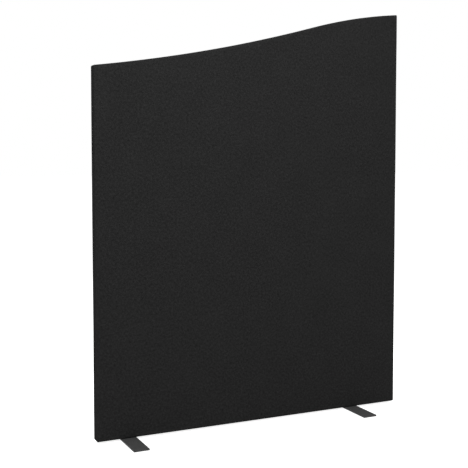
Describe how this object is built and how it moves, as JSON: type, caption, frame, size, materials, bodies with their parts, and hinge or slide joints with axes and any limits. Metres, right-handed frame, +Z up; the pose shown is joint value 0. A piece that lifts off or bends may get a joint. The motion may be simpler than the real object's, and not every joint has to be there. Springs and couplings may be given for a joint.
{
  "type": "partition screen",
  "caption": "Free-standing fabric-wrapped partition screen with a wave-shaped top edge, on two flat steel bar feet.",
  "frame": {"origin": "on the floor, below the middle of the panel's width and thickness", "axes": "+X to the right along the panel as seen from the front, towards its high end; -Y out of the front face; +Z up"},
  "size_m": [1.2, 0.3, 1.5066],
  "materials": {
    "frame_timber": "matte",
    "dowel_wood": "matte",
    "infill_wool": "matte",
    "facing_board": "matte",
    "wadding": "matte",
    "cover_fabric": "matte",
    "strip_tape": "matte",
    "staple_wire": "satin",
    "insert_metal": "satin",
    "foot_steel": "matte",
    "bolt_steel": "satin",
    "pad_rubber": "matte"
  },
  "bodies": {
    "root": {"bottom_rail": "frame_timber", "wave_top_rail": "frame_timber", "left_stile": "frame_timber", "centre_stile": "frame_timber", "right_stile": "frame_timber", "left_cross_rail": "frame_timber", "right_cross_rail": "frame_timber", "frame_dowels": "dowel_wood", "lower_left_infill": "infill_wool", "lower_right_infill": "infill_wool", "upper_left_infill": "infill_wool", "upper_right_infill": "infill_wool", "front_facing_board": "facing_board", "rear_facing_board": "facing_board", "front_padding": "wadding", "rear_padding": "wadding", "left_edge_padding": "wadding", "right_edge_padding": "wadding", "top_edge_padding": "wadding", "front_cover": "cover_fabric", "rear_cover": "cover_fabric", "bottom_strip": "strip_tape", "cover_staples": "staple_wire", "left_foot_inserts": "insert_metal", "right_foot_inserts": "insert_metal", "left_foot_plate": "foot_steel", "right_foot_plate": "foot_steel", "left_foot_bolts": "bolt_steel", "right_foot_bolts": "bolt_steel", "left_foot_pads": "pad_rubber", "right_foot_pads": "pad_rubber"}
  },
  "joints": []
}
